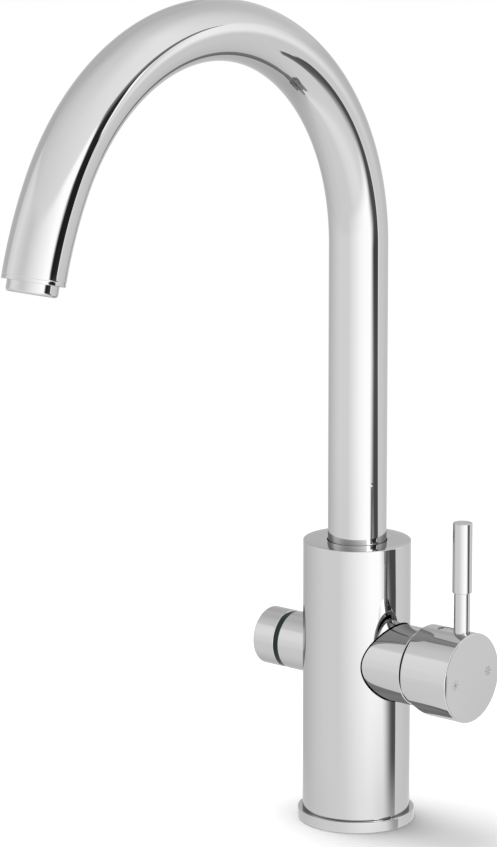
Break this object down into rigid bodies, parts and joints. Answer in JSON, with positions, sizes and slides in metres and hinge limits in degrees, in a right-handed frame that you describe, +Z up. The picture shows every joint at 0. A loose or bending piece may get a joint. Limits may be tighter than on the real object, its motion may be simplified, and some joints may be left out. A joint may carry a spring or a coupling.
{
  "type": "kitchen mixer tap",
  "caption": "Tall swan-neck kitchen mixer tap with a side lever for hot and cold water and a second valve for filtered water.",
  "frame": {"origin": "on the deck, on the axis of the body and of the spout's swivel, in the middle between the two stud threads", "axes": "+Z up along the body, -Y towards the outlet with the spout at rest, +X along the side axis towards the mixer handle"},
  "size_m": [0.1088, 0.2363, 0.3605],
  "materials": {
    "chrome_plate": "mirror polished chrome plate on brass",
    "cast_brass": "machined, as cast inside",
    "steel": "turned stainless steel",
    "seal_rubber": "matt black nitrile rubber",
    "white_acetal": "natural white acetal",
    "grey_acetal": "grey glass-filled acetal",
    "ceramic": "lapped alumina ceramic",
    "hose_plastic": "extruded food-safe polyethylene",
    "green_ring": "dark green tinted plastic, glossy"
  },
  "bodies": {
    "body": {"base_ring": "chrome_plate", "base_seal": "seal_rubber", "body_shell": "chrome_plate", "mounting_foot": "cast_brass", "valve_core": "cast_brass", "mixer_socket": "chrome_plate", "socket_seal": "seal_rubber", "cartridge_base": "white_acetal", "cartridge_seals": "seal_rubber", "cartridge_housing": "white_acetal", "fixed_disc": "ceramic", "cartridge_nut": "cast_brass", "glide_washer": "white_acetal", "snap_ring": "steel", "glide_bush": "white_acetal", "filter_socket": "chrome_plate", "indicator_ring": "green_ring", "headwork_body": "cast_brass", "headwork_seal": "seal_rubber", "headwork_fixed_disc": "ceramic"},
    "temperature_rotor": {"cartridge_rotor": "grey_acetal", "pivot_pin": "steel"},
    "mixer_handle": {"handle_stem": "steel", "handle_hub": "chrome_plate", "lever_rod": "chrome_plate", "hub_grub_screw": "steel", "hub_plug": "chrome_plate"},
    "mixing_disc": {"moving_disc": "ceramic", "disc_carrier": "grey_acetal"},
    "spout": {"spout_tube": "chrome_plate", "spout_nipple": "cast_brass", "spout_o_rings": "seal_rubber", "filter_water_tube": "hose_plastic", "tube_plug": "cast_brass", "tube_plug_seal": "seal_rubber", "aerator_housing": "chrome_plate", "aerator_insert": "grey_acetal", "aerator_washer": "seal_rubber"},
    "filter_handle": {"filter_knob": "chrome_plate", "knob_grub_screw": "steel", "headwork_spindle": "steel", "spindle_o_ring": "seal_rubber", "spindle_clip": "steel", "headwork_moving_disc": "ceramic"}
  },
  "joints": [
    {"name": "spout_swivel", "type": "hinge", "parent": "body", "child": "spout", "pos_m": [0, 0, 0.1], "axis": [0, 0, 1], "continuous": true},
    {"name": "temperature", "type": "hinge", "parent": "body", "child": "temperature_rotor", "pos_m": [0.0325, 0, 0.0723], "axis": [1, 0, 0], "range_deg": [-50, 50]},
    {"name": "lever_lift", "type": "hinge", "parent": "temperature_rotor", "child": "mixer_handle", "pos_m": [0.0325, 0, 0.0723], "axis": [0, 1, 0], "range_deg": [0, 25]},
    {"name": "disc_slide", "type": "slide", "parent": "temperature_rotor", "child": "mixing_disc", "axis": [0, 0, 1], "range_m": [0, 0.00634]},
    {"name": "filter_turn", "type": "hinge", "parent": "body", "child": "filter_handle", "pos_m": [-0.04, 0, 0.0723], "axis": [1, 0, 0], "range_deg": [0, 90]}
  ],
  "couplings": [
    {"joint": "disc_slide", "follows": "lever_lift", "m_per_rad": 0.014529}
  ]
}
